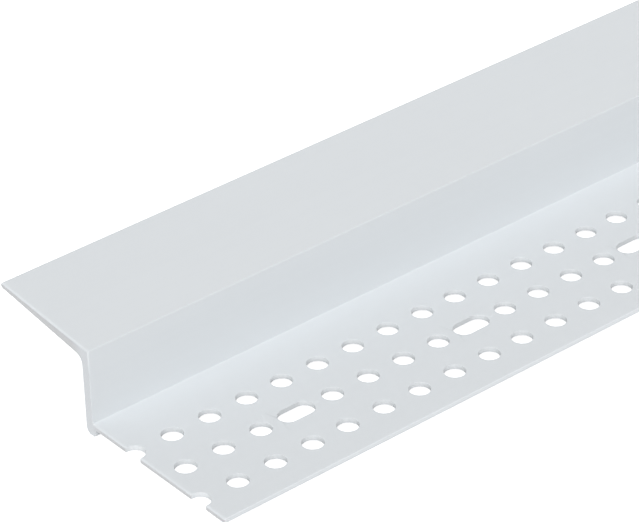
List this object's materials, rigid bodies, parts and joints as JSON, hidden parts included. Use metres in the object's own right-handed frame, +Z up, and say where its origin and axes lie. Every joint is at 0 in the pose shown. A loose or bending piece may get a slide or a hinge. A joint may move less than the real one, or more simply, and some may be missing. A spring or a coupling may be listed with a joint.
{
  "type": "shadow gap profile",
  "caption": "Extruded Z-section plasterboard trim strip with a smooth tapered flange, a web ending in a rounded stop lip, and a flange perforated with staggered rows of round holes and slots.",
  "frame": {"origin": "middle of the length and of the width, level with the bottom of the lip", "axes": "+X along the length, away from the sawn end that halves a column of holes; +Y towards the tip of the smooth flange; +Z up, square to the perforated flange"},
  "size_m": [2.5, 0.0528, 0.0168],
  "materials": {
    "white_pvc": "satin white rigid PVC, as extruded"
  },
  "bodies": {
    "root": {"profile": "white_pvc"}
  },
  "joints": []
}
